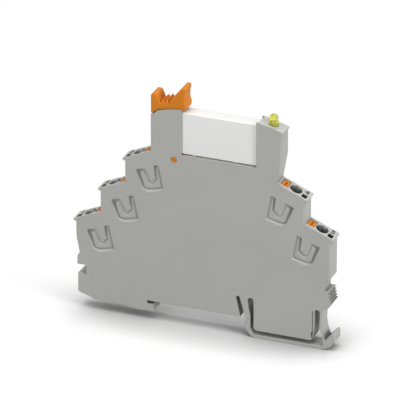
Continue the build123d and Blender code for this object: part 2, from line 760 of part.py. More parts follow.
# Yoke: bar under the coil and an upright at its right end
yoke_left = contact_pins[2] - pin_t
yoke_right = relay_end - case_wall - yoke_gap
yoke_z = base_top + base_gap
coil_top = relay_top - case_wall - coil_head_gap
yoke_top = coil_top - yoke_fall
with BuildPart() as yoke:
    with BuildSketch(side_plane(yoke_w / 2)):
        Polygon((yoke_left, yoke_z), (yoke_right, yoke_z), (yoke_right, yoke_top),
                (yoke_right - yoke_t, yoke_top), (yoke_right - yoke_t, yoke_z + yoke_t),
                (yoke_left, yoke_z + yoke_t), align=None)
    extrude(amount=yoke_w)
yoke.part.label = "yoke"
export_step(yoke.part, "parts/yoke.step")

# Bobbin on the core, with its winding
bobbin_z = yoke_z + yoke_t + base_gap
bobbin_left = yoke_left + bobbin_inset
bobbin_right = yoke_right - yoke_t - base_gap
coil_z = (bobbin_z + coil_top) / 2
winding_h = coil_top - bobbin_z - 2 * winding_inset
flange_w = relay_w - 2 * (case_wall + slide_gap)
with BuildPart() as bobbin:
    with BuildSketch(Plane.YZ.offset(bobbin_left)):
        with Locations((0, coil_z)):
            Rectangle(core_w + 2 * tube_t, core_h + 2 * tube_t)
    extrude(amount=bobbin_right - bobbin_left)
    with BuildSketch(Plane.YZ.offset(bobbin_left), Plane.YZ.offset(bobbin_right - flange_t)):
        with Locations((0, coil_z)):
            Rectangle(flange_w, coil_top - bobbin_z)
    extrude(amount=flange_t)
    with BuildSketch(Plane.YZ.offset(bobbin_left)):
        with Locations((0, coil_z)):
            Rectangle(core_w + 2 * hole_gap, core_h + 2 * hole_gap)
    extrude(amount=bobbin_right - bobbin_left, mode=Mode.SUBTRACT)
bobbin.part.label = "bobbin"
export_step(bobbin.part, "parts/bobbin.step")

with BuildPart() as winding:
    with BuildSketch(Plane.YZ.offset(bobbin_left + flange_t + hole_gap)):
        with Locations((0, coil_z)):
            RectangleRounded(flange_w - 2 * winding_gap, winding_h, winding_r)
            Rectangle(core_w + 2 * tube_t + 2 * hole_gap, core_h + 2 * tube_t + 2 * hole_gap,
                      mode=Mode.SUBTRACT)
    extrude(amount=bobbin_right - bobbin_left - 2 * flange_t - 2 * hole_gap)
winding.part.label = "winding"
export_step(winding.part, "parts/winding.step")

armature_x = yoke_left - rock_gap
core_left = armature_x + pole_gap
with BuildPart() as core:
    with BuildSketch(Plane.YZ.offset(core_left)):
        with Locations((0, coil_z)):
            Rectangle(core_w, core_h)
    extrude(amount=yoke_right - yoke_t - core_left)
core.part.label = "core"
export_step(core.part, "parts/core.step")

# Armature plate that rocks on the yoke's end, and the contact arm riveted to it
rock_z = yoke_z + yoke_t
armature_top = coil_top - armature_fall
with BuildPart() as armature:
    with BuildSketch(side_plane(yoke_w / 2)):
        Polygon((armature_x - armature_t, yoke_z), (armature_x, yoke_z), (armature_x, armature_top),
                (armature_x - armature_t, armature_top), align=None)
    extrude(amount=yoke_w)
armature.part.label = "armature"
export_step(armature.part, "parts/armature.step")

blade_z = coil_top - blade_fall
contact_x = contact_pins[0] + contact_shift
blade_x = armature_x - armature_t - blade_t / 2
with BuildPart() as contact_arm:
    with BuildSketch(side_plane(blade_w / 2)):
        with BuildLine():
            FilletPolyline((blade_x, rock_z + blade_lift), (blade_x, blade_z),
                           (contact_x - blade_tip, blade_z), radius=strip_r)
        trace(line_width=blade_t)
    extrude(amount=blade_w)
    with BuildSketch(Plane.XY.offset(blade_z - blade_t / 2 - contact_h)):
        with Locations((contact_x, 0)):
            Circle(contact_r)
    extrude(amount=blade_t + 2 * contact_h)
contact_arm.part.label = "contact_arm"
export_step(contact_arm.part, "parts/contact_arm.step")

# Fixed contacts: each is a strip from its pin to a button under or over the moving contact
strip_t = pin_t
close_face = blade_z - blade_t / 2 - contact_h - rest_gap
open_face = blade_z + blade_t / 2 + contact_h + contact_stroke
close_z = close_face - fixed_h - strip_t / 2
open_z = open_face + fixed_h + strip_t / 2
jog_z = base_top + base_gap + strip_t / 2
open_post_x = contact_pins[0] - post_reach

with BuildPart() as contact_closed:
    with BuildSketch(side_plane(pin_w / 2)):
        with BuildLine():
            FilletPolyline((contact_pins[1], pin_end), (contact_pins[1], close_z),
                           (contact_x - contact_r, close_z), radius=strip_r)
        trace(line_width=strip_t)
    extrude(amount=pin_w)
    with BuildSketch(Plane.XY.offset(close_z)):
        with Locations((contact_x, 0)):
            Circle(contact_r)
    extrude(amount=close_face - close_z)
contact_closed.part.label = "contact_closed"
export_step(contact_closed.part, "parts/contact_closed.step")

with BuildPart() as contact_open:
    with BuildSketch(side_plane(pin_w / 2)):
        with BuildLine():
            FilletPolyline((contact_pins[0], pin_end), (contact_pins[0], jog_z),
                           (open_post_x, jog_z), (open_post_x, open_z),
                           (contact_x + contact_r, open_z), radius=fork_r)
        trace(line_width=strip_t)
    extrude(amount=pin_w)
    with BuildSketch(Plane.XY.offset(open_z)):
        with Locations((contact_x, 0)):
            Circle(contact_r)
    extrude(amount=open_face - open_z)
contact_open.part.label = "contact_open"
export_step(contact_open.part, "parts/contact_open.step")

# Pin of the moving contact, which stands under the yoke, and the two coil pins
with BuildPart() as common_pin:
    with BuildSketch(Plane.XY.offset(pin_end)):
        with Locations((contact_pins[2], 0)):
            Rectangle(pin_t, pin_w)
    extrude(amount=yoke_z - pin_end)
common_pin.part.label = "common_pin"
export_step(common_pin.part, "parts/common_pin.step")

with BuildPart() as coil_pin_pair:
    with BuildSketch(Plane.XY.offset(pin_end)):
        with Locations(*[(x, 0) for x in coil_pins]):
            Rectangle(pin_t, pin_w)
    extrude(amount=base_top - pin_end)
coil_pin_pair.part.label = "coil_pin_pair"
export_step(coil_pin_pair.part, "parts/coil_pin_pair.step")
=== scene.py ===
import bmesh
import bpy
import json
import numpy as np
from math import cos, pi, radians, sin
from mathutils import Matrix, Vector


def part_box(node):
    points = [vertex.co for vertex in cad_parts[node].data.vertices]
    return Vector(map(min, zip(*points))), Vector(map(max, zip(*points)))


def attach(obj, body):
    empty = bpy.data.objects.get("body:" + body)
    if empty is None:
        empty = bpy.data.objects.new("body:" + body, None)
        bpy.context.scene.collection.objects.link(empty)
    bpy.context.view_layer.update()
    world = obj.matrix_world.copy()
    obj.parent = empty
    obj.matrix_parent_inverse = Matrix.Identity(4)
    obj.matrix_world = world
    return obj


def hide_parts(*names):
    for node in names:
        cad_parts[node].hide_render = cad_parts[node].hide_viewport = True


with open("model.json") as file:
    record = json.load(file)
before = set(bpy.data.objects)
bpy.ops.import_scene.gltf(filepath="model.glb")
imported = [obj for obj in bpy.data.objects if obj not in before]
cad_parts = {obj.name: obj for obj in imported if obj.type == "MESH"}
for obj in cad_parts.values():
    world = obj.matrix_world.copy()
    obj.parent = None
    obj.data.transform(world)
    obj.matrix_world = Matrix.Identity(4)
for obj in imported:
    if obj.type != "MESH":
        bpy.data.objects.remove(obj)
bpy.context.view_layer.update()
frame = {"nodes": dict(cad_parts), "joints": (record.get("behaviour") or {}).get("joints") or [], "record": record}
mm = 0.001

print("stage 1: camera, light and floor")

viewSetup = {
    "azimuth": 21.4,                      # degrees round from the front, towards +X
    "elevation": 25.8,
    "distance": 2.0,                      # metres
    "lens": 516.1, "sensor": 36,          # mm
    "clip": (0.1, 20),                    # metres
    "target": (0.00217, 0.00148, 0.03622),
}


def aimAt(thing, place, target):
    direction = Vector(target) - Vector(place)
    thing.location = place
    thing.rotation_euler = direction.to_track_quat("-Z", "Y").to_euler()


def addCamera():
    az = radians(viewSetup["azimuth"])
    el = radians(viewSetup["elevation"])
    target = Vector(viewSetup["target"])
    back = Vector((sin(az) * cos(el), -cos(az) * cos(el), sin(el)))
    data = bpy.data.cameras.new("photoCamera")
    data.sensor_width = viewSetup["sensor"]
    data.lens = viewSetup["lens"]
    data.clip_start, data.clip_end = viewSetup["clip"]
    camera = bpy.data.objects.new("photoCamera", data)
    bpy.context.collection.objects.link(camera)
    aimAt(camera, target + back * viewSetup["distance"], target)
    bpy.context.scene.camera = camera


lampSetup = {                             # place (m), size (m), power (W)
    "overhead": {"place": (-0.1, -0.1, 0.95), "size": 0.8, "power": 4.75},
    "rightFront": {"place": (1.0, -0.3, 0.4), "size": 0.6, "power": 7.6},
    "leftFront": {"place": (-0.45, -1.0, 0.5), "size": 0.7, "power": 5.4},
    "behind": {"place": (0.1, 0.9, 0.6), "size": 0.7, "power": 2.2},
}
lampAim = (0.0, 0.0, 0.035)               # the middle of the object, where all four point


def addLamps():
    for name, setup in lampSetup.items():
        data = bpy.data.lights.new(name, "AREA")
        data.shape = "DISK"
        data.size = setup["size"]
        data.energy = setup["power"]
        lamp = bpy.data.objects.new(name, data)
        bpy.context.collection.objects.link(lamp)
        aimAt(lamp, setup["place"], lampAim)


worldSetup = {"ambient": 0.22, "seen": 1.0}


# A Math node on two values. The second one is another node's output or a plain number
def addMath(nodes, links, kind, first, second):
    node = nodes.new("ShaderNodeMath")
    node.operation = kind
    links.new(first, node.inputs[0])
    if isinstance(second, float):
        node.inputs[1].default_value = second
    else:
        links.new(second, node.inputs[1])
    return node.outputs[0]


# One where the camera, a reflection or glass looks, nought where the surface only lights the object
def seenFactor(nodes, links):
    rays = nodes.new("ShaderNodeLightPath")
    seen = rays.outputs["Is Camera Ray"]
    for kind in ("Is Glossy Ray", "Is Transmission Ray"):
        seen = addMath(nodes, links, "MAXIMUM", seen, rays.outputs[kind])
    return seen


def makeWorld():
    world = bpy.data.worlds.new("paleRoom")
    bpy.context.scene.world = world
    world.use_nodes = True
    nodes = world.node_tree.nodes
    links = world.node_tree.links
    nodes.clear()
    mix = nodes.new("ShaderNodeMixShader")
    links.new(seenFactor(nodes, links), mix.inputs[0])
    for side, strength in ((1, worldSetup["ambient"]), (2, worldSetup["seen"])):
        glow = nodes.new("ShaderNodeBackground")
        glow.inputs["Color"].default_value = (1, 1, 1, 1)
        glow.inputs["Strength"].default_value = strength
        links.new(glow.outputs[0], mix.inputs[side])
    out = nodes.new("ShaderNodeOutputWorld")
    links.new(mix.outputs[0], out.inputs[0])


floorSetup = {
    "height": -6.95 * mm, "half": 1.5,    # metres
    "seen": 1.0, "thrown": 0.3,           # how pale for the camera, and for the light that it throws back
    "roughness": 0.9, "specular": 0.1,
    # The painted shadow close under the object
    "contact": 0.024,                     # the reach (m) of the dark close under the object
    "contactPower": 1.05, "contactSamples": 12,
    "fadeFrom": 0.012, "fadeTo": 0.031,   # from the middle (m), to plain white for the camera
    "fadeShape": (0.33, 1.0, 0.0),        # along the object a distance counts for a third
    "white": 1.0,                         # strength of the plain white
}
mixInputs = (6, 7)                        # the colour sockets of a Mix node
mixOutput = 2


# A mix of two colours, the second one where the factor is one. A plain number is a grey
def addMix(nodes, links, factor, first, second):
    mix = nodes.new("ShaderNodeMix")
    mix.data_type = "RGBA"
    links.new(factor, mix.inputs[0])
    for socket, colour in zip(mixInputs, (first, second)):
        if isinstance(colour, float):
            mix.inputs[socket].default_value = (colour, colour, colour, 1)
        else:
            links.new(colour, mix.inputs[socket])
    return mix.outputs[mixOutput]


# White where the camera or a reflection sees it, greyer for the light that it throws back on the object.
# Close to the object its colour is darkened where the room is shut off, a painted shadow, and farther
# away it fades to plain white for the camera
def floorFinish():
    mat = bpy.data.materials.new("paleFloor")
    mat.use_nodes = True
    nodes = mat.node_tree.nodes
    links = mat.node_tree.links
    shader = nodes["Principled BSDF"]
    seen = seenFactor(nodes, links)
    # Painted shadow: the colour darkens where ambient occlusion finds the object near
    contact = nodes.new("ShaderNodeAmbientOcclusion")
    contact.samples = floorSetup["contactSamples"]
    contact.inputs["Distance"].default_value = floorSetup["contact"]
    openness = addMath(nodes, links, "POWER", contact.outputs["AO"], floorSetup["contactPower"])
    shade = addMix(nodes, links, openness, 0.0, floorSetup["seen"])
    links.new(addMix(nodes, links, seen, floorSetup["thrown"], shade), shader.inputs["Base Color"])
    shader.inputs["Roughness"].default_value = floorSetup["roughness"]
    shader.inputs["Specular IOR Level"].default_value = floorSetup["specular"]

    place = nodes.new("ShaderNodeTexCoord")
    shape = nodes.new("ShaderNodeMapping")
    shape.inputs["Scale"].default_value = floorSetup["fadeShape"]
    links.new(place.outputs["Object"], shape.inputs["Vector"])
    distance = nodes.new("ShaderNodeVectorMath")
    distance.operation = "LENGTH"
    links.new(shape.outputs["Vector"], distance.inputs[0])
    fade = nodes.new("ShaderNodeMapRange")
    fade.interpolation_type = "SMOOTHSTEP"
    fade.inputs["From Min"].default_value = floorSetup["fadeFrom"]
    fade.inputs["From Max"].default_value = floorSetup["fadeTo"]
    links.new(distance.outputs["Value"], fade.inputs["Value"])
    white = nodes.new("ShaderNodeEmission")
    white.inputs["Strength"].default_value = floorSetup["white"]
    blend = nodes.new("ShaderNodeMixShader")
    links.new(addMath(nodes, links, "MULTIPLY", fade.outputs["Result"], seen), blend.inputs[0])
    links.new(shader.outputs[0], blend.inputs[1])
    links.new(white.outputs[0], blend.inputs[2])
    links.new(blend.outputs[0], nodes["Material Output"].inputs["Surface"])
    return mat


def addFloor():
    h = floorSetup["half"]
    z = floorSetup["height"]
    mesh = bpy.data.meshes.new("paleFloor")
    mesh.from_pydata([(-h, -h, z), (h, -h, z), (h, h, z), (-h, h, z)], [], [(0, 1, 2, 3)])
    floor = bpy.data.objects.new("paleFloor", mesh)
    bpy.context.collection.objects.link(floor)
    mesh.materials.append(floorFinish())


bpy.context.scene.view_settings.view_transform = "Standard"
addCamera()
addLamps()
makeWorld()
addFloor()

print("stage 2: materials")


# A new material, with its shader and an Object coordinate to hang patterns on
def startFinish(name):
    mat = bpy.data.materials.new(name)
    mat.use_nodes = True
    nodes = mat.node_tree.nodes
    place = nodes.new("ShaderNodeTexCoord")
    return mat, nodes, mat.node_tree.links, nodes["Principled BSDF"], place.outputs["Object"]


# A noise of the given scale (per metre), stretched along some axes where asked
def addNoise(nodes, links, place, scale, detail=2.0, stretch=None):
    noise = nodes.new("ShaderNodeTexNoise")
    noise.inputs["Scale"].default_value = scale
    noise.inputs["Detail"].default_value = detail
    if stretch is not None:
        squeeze = nodes.new("ShaderNodeMapping")
        squeeze.inputs["Scale"].default_value = stretch
        links.new(place, squeeze.inputs["Vector"])
        place = squeeze.outputs["Vector"]
    links.new(place, noise.inputs["Vector"])
    return noise.outputs["Fac"]


# A ramp between two colours, over the middle of a factor
def addRamp(nodes, links, factor, low, high, start=0.3, end=0.7):
    ramp = nodes.new("ShaderNodeValToRGB")
    ramp.color_ramp.elements[0].position = start
    ramp.color_ramp.elements[1].position = end
    ramp.color_ramp.elements[0].color = (*low, 1)
    ramp.color_ramp.elements[1].color = (*high, 1)
    links.new(factor, ramp.inputs["Fac"])
    return ramp.outputs["Color"]


# A factor from nought to one spread between two numbers
def addRange(nodes, links, factor, low, high):
    spread = nodes.new("ShaderNodeMapRange")
    spread.inputs["To Min"].default_value = low
    spread.inputs["To Max"].default_value = high
    links.new(factor, spread.inputs["Value"])
    return spread.outputs["Result"]


bevelSamples = 6


# Bump of a given strength and depth (m), over edges that look rounded by the given radius (mm)
def addBump(nodes, links, shader, height, strength, depth, edge):
    bump = nodes.new("ShaderNodeBump")
    bump.inputs["Strength"].default_value = strength
    bump.inputs["Distance"].default_value = depth
    links.new(height, bump.inputs["Height"])
    if edge > 0:
        soft = nodes.new("ShaderNodeBevel")
        soft.samples = bevelSamples
        soft.inputs["Radius"].default_value = edge * mm
        links.new(soft.outputs["Normal"], bump.inputs["Normal"])
    links.new(bump.outputs["Normal"], shader.inputs["Normal"])


moulding = {"cloudScale": 60.0, "cloudDetail": 3.0, "grainDepth": 0.02 * mm, "uneven": 0.06, "paintedShadeSamples": 8}


# A moulded plastic: fine matt grain (mm) as bump, faint cloudiness in the colour, edges softened by a bevel
# (mm). Where the mesh carries the named attribute, shade is painted: the colour goes towards a dark grey by
# its value. In crevices within the given reach (mm), found by ambient occlusion, shade is painted the same way
def mouldedPlastic(name, colour, roughness=0.45, grain=0.25, grainSize=0.22, edge=0.22, cloud=0.03,
                   specular=0.4, paintedShadeAttribute="", paintedShadeTone=0.1, paintedShadeReach=0.0):
    mat, nodes, links, shader, place = startFinish(name)
    shader.inputs["Specular IOR Level"].default_value = specular
    clouds = addNoise(nodes, links, place, moulding["cloudScale"], detail=moulding["cloudDetail"])
    low = [c * (1 - cloud) for c in colour]
    high = [min(1, c * (1 + cloud)) for c in colour]
    tone = addRamp(nodes, links, clouds, low, high)
    # Painted shade: the colour goes darker by the mesh's attribute
    if paintedShadeAttribute:
        mark = nodes.new("ShaderNodeAttribute")
        mark.attribute_name = paintedShadeAttribute
        tone = addMix(nodes, links, mark.outputs["Fac"], tone, paintedShadeTone)
    # Painted shade in crevices, found by ambient occlusion
    if paintedShadeReach > 0:
        paintedShadeAO = nodes.new("ShaderNodeAmbientOcclusion")
        paintedShadeAO.samples = moulding["paintedShadeSamples"]
        paintedShadeAO.only_local = True
        paintedShadeAO.inputs["Distance"].default_value = paintedShadeReach * mm
        tone = addMix(nodes, links, paintedShadeAO.outputs["AO"], paintedShadeTone, tone)
    links.new(tone, shader.inputs["Base Color"])
    fine = addNoise(nodes, links, place, 1 / (grainSize * mm))
    spread = (roughness - moulding["uneven"], roughness + moulding["uneven"])
    links.new(addRange(nodes, links, fine, *spread), shader.inputs["Roughness"])
    addBump(nodes, links, shader, fine, grain, moulding["grainDepth"], edge)
    return mat


lensSkin = {"ior": 1.5, "peelScale": 900.0, "peelDepth": 0.02 * mm, "bump": 0.08, "deeper": 0.9,
            "roughness": (0.03, 0.09)}


# Clear tinted plastic that light goes through, with a faint orange-peel skin
def lensPlastic(name, colour, through=0.85):
    mat, nodes, links, shader, place = startFinish(name)
    shader.inputs["Transmission Weight"].default_value = through
    shader.inputs["IOR"].default_value = lensSkin["ior"]
    peel = addNoise(nodes, links, place, lensSkin["peelScale"])
    deep = [c * lensSkin["deeper"] for c in colour]
    links.new(addRamp(nodes, links, peel, deep, colour), shader.inputs["Base Color"])
    links.new(addRange(nodes, links, peel, *lensSkin["roughness"]), shader.inputs["Roughness"])
    addBump(nodes, links, shader, peel, lensSkin["bump"], lensSkin["peelDepth"], 0.0)
    return mat


rolling = {"stainScale": 220.0, "stainDetail": 4.0, "lineScale": 700.0, "lineDepth": 0.01 * mm, "bump": 0.2,
           "smoother": 0.1, "rougher": 0.12, "edge": 0.08}


# Rolled or stamped metal: fine lines along the strip in roughness and bump, slight stain in the colour
def rolledMetal(name, colour, roughness=0.3, lines=(1.0, 14.0, 1.0), stain=0.08):
    mat, nodes, links, shader, place = startFinish(name)
    shader.inputs["Metallic"].default_value = 1.0
    patches = addNoise(nodes, links, place, rolling["stainScale"], detail=rolling["stainDetail"])
    low = [c * (1 - stain) for c in colour]
    high = [min(1, c * (1 + stain)) for c in colour]
    links.new(addRamp(nodes, links, patches, low, high), shader.inputs["Base Color"])
    streaks = addNoise(nodes, links, place, rolling["lineScale"], stretch=lines)
    spread = (roughness - rolling["smoother"], roughness + rolling["rougher"])
    links.new(addRange(nodes, links, streaks, *spread), shader.inputs["Roughness"])
    addBump(nodes, links, shader, streaks, rolling["bump"], rolling["lineDepth"], rolling["edge"])
    return mat


boardSkin = {"trackScale": 300.0, "trackWidth": 0.09, "trackDepth": 0.03 * mm, "bump": 0.4, "deeper": 0.85,
             "maskRoughness": 0.35, "trackRoughness": 0.25, "edge": 0.06}


# Solder mask with paler copper tracks under it, drawn by the joints of a brick pattern on the board's face
def boardMask(name, mask, track):
    mat, nodes, links, shader, place = startFinish(name)
    turn = nodes.new("ShaderNodeMapping")
    turn.inputs["Rotation"].default_value = (pi / 2, 0, 0)
    links.new(place, turn.inputs["Vector"])
    tracks = nodes.new("ShaderNodeTexBrick")
    tracks.inputs["Scale"].default_value = boardSkin["trackScale"]
    tracks.inputs["Mortar Size"].default_value = boardSkin["trackWidth"]
    tracks.inputs["Color1"].default_value = (*mask, 1)
    tracks.inputs["Color2"].default_value = (*[c * boardSkin["deeper"] for c in mask], 1)
    tracks.inputs["Mortar"].default_value = (*track, 1)
    links.new(turn.outputs["Vector"], tracks.inputs["Vector"])
    links.new(tracks.outputs["Color"], shader.inputs["Base Color"])
    onTrack = tracks.outputs["Fac"]
    links.new(addRange(nodes, links, onTrack, boardSkin["maskRoughness"], boardSkin["trackRoughness"]),
              shader.inputs["Roughness"])
    addBump(nodes, links, shader, onTrack, boardSkin["bump"], boardSkin["trackDepth"], boardSkin["edge"])
    return mat


bodySkin = {"grainScale": 4000.0, "grainDepth": 0.02 * mm, "bump": 0.2, "uneven": 0.08, "edge": 0.1}


# A small moulded body in one colour, and in another between two heights (m): a diode with its mark, or a
# resistor with its end caps
def bandedBody(name, colour, bandColour, bandFrom, bandTo, roughness=0.45):
    mat, nodes, links, shader, place = startFinish(name)
    parts = nodes.new("ShaderNodeSeparateXYZ")
    links.new(place, parts.inputs[0])
    above = addMath(nodes, links, "GREATER_THAN", parts.outputs["Z"], bandFrom)
    below = addMath(nodes, links, "LESS_THAN", parts.outputs["Z"], bandTo)
    inside = addMath(nodes, links, "MULTIPLY", above, below)
    links.new(addRamp(nodes, links, inside, colour, bandColour), shader.inputs["Base Color"])
    fine = addNoise(nodes, links, place, bodySkin["grainScale"])
    spread = (roughness - bodySkin["uneven"], roughness + bodySkin["uneven"])
    links.new(addRange(nodes, links, fine, *spread), shader.inputs["Roughness"])
    addBump(nodes, links, shader, fine, bodySkin["bump"], bodySkin["grainDepth"], bodySkin["edge"])
    return mat


# The height of a share of a node, nought at its foot and one at its top
def heightInNode(name, share):
    low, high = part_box(name)
    return float(low[2] + share * (high[2] - low[2]))


# The housing's colour carries painted shade in its crevices
housingGrey = mouldedPlastic("housingGrey", (0.43, 0.43, 0.405), paintedShadeReach=2.5)
# The window trims' colour carries painted shade in their grooves
windowGreyPaintedShade = mouldedPlastic("windowGreyPaintedShade", (0.43, 0.43, 0.405), edge=0.1, paintedShadeAttribute="windowPaintedShade")
leverOrange = mouldedPlastic("leverOrange", (0.66, 0.215, 0.018), roughness=0.5, edge=0.12, cloud=0.06,
                             specular=0.15)
buttonOrange = mouldedPlastic("buttonOrange", (0.72, 0.25, 0.015), roughness=0.5, edge=0.08, cloud=0.05,
                              specular=0.15)
relayWhite = mouldedPlastic("relayWhite", (0.83, 0.83, 0.815), roughness=0.32, edge=0.1, grain=0.1)
innerWhite = mouldedPlastic("innerWhite", (0.74, 0.74, 0.70), roughness=0.4, edge=0.1)
lampLens = lensPlastic("lampLens", (0.95, 0.95, 0.16), through=0.72)
boardGreen = boardMask("boardGreen", (0.03, 0.16, 0.06), (0.08, 0.30, 0.12))
printGrey = mouldedPlastic("printGrey", (0.03, 0.03, 0.032), roughness=0.5, edge=0.0, grain=0.1)
tinnedMetal = rolledMetal("tinnedMetal", (0.72, 0.70, 0.65), roughness=0.28)
springSteel = rolledMetal("springSteel", (0.56, 0.56, 0.57), roughness=0.25, lines=(14.0, 1.0, 1.0))
platedIron = rolledMetal("platedIron", (0.52, 0.52, 0.53), roughness=0.36, stain=0.05)
# A metal made dark as painted shade, for the liners in the terminal openings
paintedShadeMetal = rolledMetal("paintedShadeMetal", (0.17, 0.172, 0.17), roughness=0.5)
copperWire = rolledMetal("copperWire", (0.62, 0.22, 0.08), roughness=0.26, lines=(1.0, 1.0, 1.0), stain=0.14)
diodeBody = bandedBody("diodeBody", (0.02, 0.02, 0.02), (0.6, 0.6, 0.6),
                       heightInNode("diode", 0.72), heightInNode("diode", 0.86))
resistorBody = bandedBody("resistorBody", (0.6, 0.6, 0.58), (0.02, 0.02, 0.025),
                          heightInNode("resistor", 0.16), heightInNode("resistor", 0.84))

finishOf = {
    "housing_grey": housingGrey, "orange_plastic": leverOrange, "relay_white": relayWhite,
    "lamp_lens": lampLens, "contact_metal": tinnedMetal, "spring_steel": springSteel,
    "iron": platedIron, "copper_wire": copperWire, "board_green": boardGreen, "component_black": diodeBody,
}
ownFinish = {"resistor": resistorBody, "relay_base": innerWhite, "bobbin": innerWhite}
slotOf = {part["node"]: part["material_slot"] for part in frame["record"]["subparts"]}
bodyOf = {node: body for body, members in frame["record"]["behaviour"]["bodies"].items() for node in members}


# Each CAD node gets its own finish, or else the one of its slot
def dressNodes():
    for name, node in frame["nodes"].items():
        finish = ownFinish.get(name, finishOf[slotOf[name]])
        for slot in node.material_slots:
            slot.material = finish


dressNodes()

print("stage 3: makers of surfaces")

mostOfSide = 0.45                         # a corner's rounding takes at most this share of a side
leastShare = 0.3                          # keeps a sharp corner from running away when it is moved in


# Rings of points round rounded rectangles, anticlockwise, one for each size given. With a the angle round a
# corner and sx, sy its signs:
# x = shift + sx (halfX - r) + r cos a,  y = sy (halfY - r) + r sin a,  z = height
def roundedRings(halfX, halfY, radius, height, shift=0.0, steps=8):
    sizes = np.broadcast_arrays(halfX, halfY, radius, height, shift)
    halfX, halfY, radius, height, shift = [np.asarray(size, float)[:, None] for size in sizes]
    quarter = np.linspace(0, pi / 2, steps)
    angle = (np.arange(4)[:, None] * pi / 2 + quarter).reshape(1, -1)
    signX = np.repeat([1, -1, -1, 1], steps)[None, :]
    signY = np.repeat([1, 1, -1, -1], steps)[None, :]
    x = shift + signX * (halfX - radius) + radius * np.cos(angle)
    y = signY * (halfY - radius) + radius * np.sin(angle)
    return np.stack([x, y, height + 0 * x], axis=-1)


# Corners of an outline made round. With A and B on the two sides, r from the corner P:
# point = (1 - t)^2 A + 2 t (1 - t) P + t^2 B, for t from 0 to 1
def softOutline(corners, radius, steps=6):
    p = np.asarray(corners, float)
    toBefore = np.roll(p, 1, axis=0) - p
    toAfter = np.roll(p, -1, axis=0) - p
    before = np.linalg.norm(toBefore, axis=1, keepdims=True)
    after = np.linalg.norm(toAfter, axis=1, keepdims=True)
    wanted = np.reshape(radius, (-1, 1)) + np.zeros_like(before)
    reach = np.minimum(wanted, mostOfSide * np.minimum(before, after))
    a = (p + toBefore / before * reach)[:, None]
    b = (p + toAfter / after * reach)[:, None]
    t = np.linspace(0, 1, steps)[None, :, None]
    curve = (1 - t) ** 2 * a + 2 * t * (1 - t) * p[:, None] + t ** 2 * b
    return curve.reshape(-1, 2)


# An outline moved inwards by d. With n1 and n2 the normals of the two sides at the corner P:
# point = P - d (n1 + n2) / (1 + n1.n2)
def insetCorners(corners, d):
    p = np.asarray(corners, float)
    side = np.roll(p, -1, axis=0) - p
    normal = np.stack([side[:, 1], -side[:, 0]], axis=-1) / np.linalg.norm(side, axis=1, keepdims=True)
    before = np.roll(normal, 1, axis=0)
    share = 1 + (normal * before).sum(axis=1, keepdims=True)
    return p - d * (normal + before) / np.maximum(share, leastShare)


# A plate with a soft outline and rounded rims: at the angle a round the rim, the outline is moved in by
# e (1 - sin a) and the height from the face is e (1 - cos a)
def plateRings(corners, radius, bottom, top, rim, steps=6, rimSteps=5):
    angle = np.linspace(0, pi / 2, rimSteps)
    insets = rim * (1 - np.sin(angle))
    climbs = rim * (1 - np.cos(angle))
    insets = np.concatenate([insets, insets[::-1]])
    heights = np.concatenate([bottom + climbs, top - climbs[::-1]])
    rings = [softOutline(insetCorners(corners, d), radius, steps) for d in insets]
    flat = np.stack(rings)
    return np.concatenate([flat, np.broadcast_to(heights[:, None, None], (*flat.shape[:2], 1))], axis=-1)


# Rings laid out in space: origin + x u + y v + z w, with u, v, w right-handed
def placed(rings, origin, axes):
    return rings @ np.asarray(axes, float) + np.asarray(origin, float)


# Quads between neighbouring rings, and the two end rings filled in
def ringFaces(ringCount, sideCount, start):
    i = np.arange(ringCount - 1)[:, None] * sideCount + start
    j = np.arange(sideCount)[None, :]
    k = (j + 1) % sideCount
    quads = np.stack([i + j, i + k, i + sideCount + k, i + sideCount + j], axis=-1).reshape(-1, 4)
    firstRing = np.arange(sideCount)[::-1] + start
    lastRing = np.arange(sideCount) + start + (ringCount - 1) * sideCount
    return quads.tolist() + [firstRing.tolist(), lastRing.tolist()]


# Doubles merged, and the faces turned outwards where asked
def mendMesh(mesh, turn, weld=0.0005 * mm):
    work = bmesh.new()
    work.from_mesh(mesh)
    bmesh.ops.remove_doubles(work, verts=work.verts, dist=weld)
    if turn:
        bmesh.ops.recalc_face_normals(work, faces=work.faces)
    work.to_mesh(mesh)
    work.free()


# A mesh of one or more closed shells, each given as rings along its length
def shellMesh(name, shells):
    faces = []
    start = 0
    for rings in shells:
        faces += ringFaces(rings.shape[0], rings.shape[1], start)
        start += rings.shape[0] * rings.shape[1]
    mesh = bpy.data.meshes.new(name)
    mesh.from_pydata(np.concatenate([rings.reshape(-1, 3) for rings in shells]).tolist(), [], faces)
    mendMesh(mesh, turn=False)
    return mesh


# A ring-shaped skin: the last ring joins the first, so the rings go all the way round the wall's section
def closedTube(name, rings):
    ringCount, sideCount = rings.shape[:2]
    i = np.arange(ringCount)[:, None]
    j = np.arange(sideCount)[None, :]
    k = (j + 1) % sideCount
    nextRing = (i + 1) % ringCount
    here = i * sideCount
    there = nextRing * sideCount
    quads = np.stack([here + j, here + k, there + k, there + j], axis=-1).reshape(-1, 4)
    mesh = bpy.data.meshes.new(name)
    mesh.from_pydata(rings.reshape(-1, 3).tolist(), [], quads.tolist())
    mendMesh(mesh, turn=True)
    return mesh


# Closed shells that run into each other, made one skin
def fusedMesh(name, shells):
    helpers = []
    for number, rings in enumerate(shells):
        helperName = name + "Helper" + str(number)
        helper = bpy.data.objects.new(helperName, shellMesh(helperName, [rings]))
        bpy.context.collection.objects.link(helper)
        helpers.append(helper)
    for other in helpers[1:]:
        union = helpers[0].modifiers.new("union", "BOOLEAN")
        union.operation = "UNION"
        union.solver = "EXACT"
        union.object = other
    graph = bpy.context.evaluated_depsgraph_get()
    mesh = bpy.data.meshes.new_from_object(helpers[0].evaluated_get(graph))
    mesh.name = name
    for helper in helpers:
        bpy.data.objects.remove(helper)
    return mesh


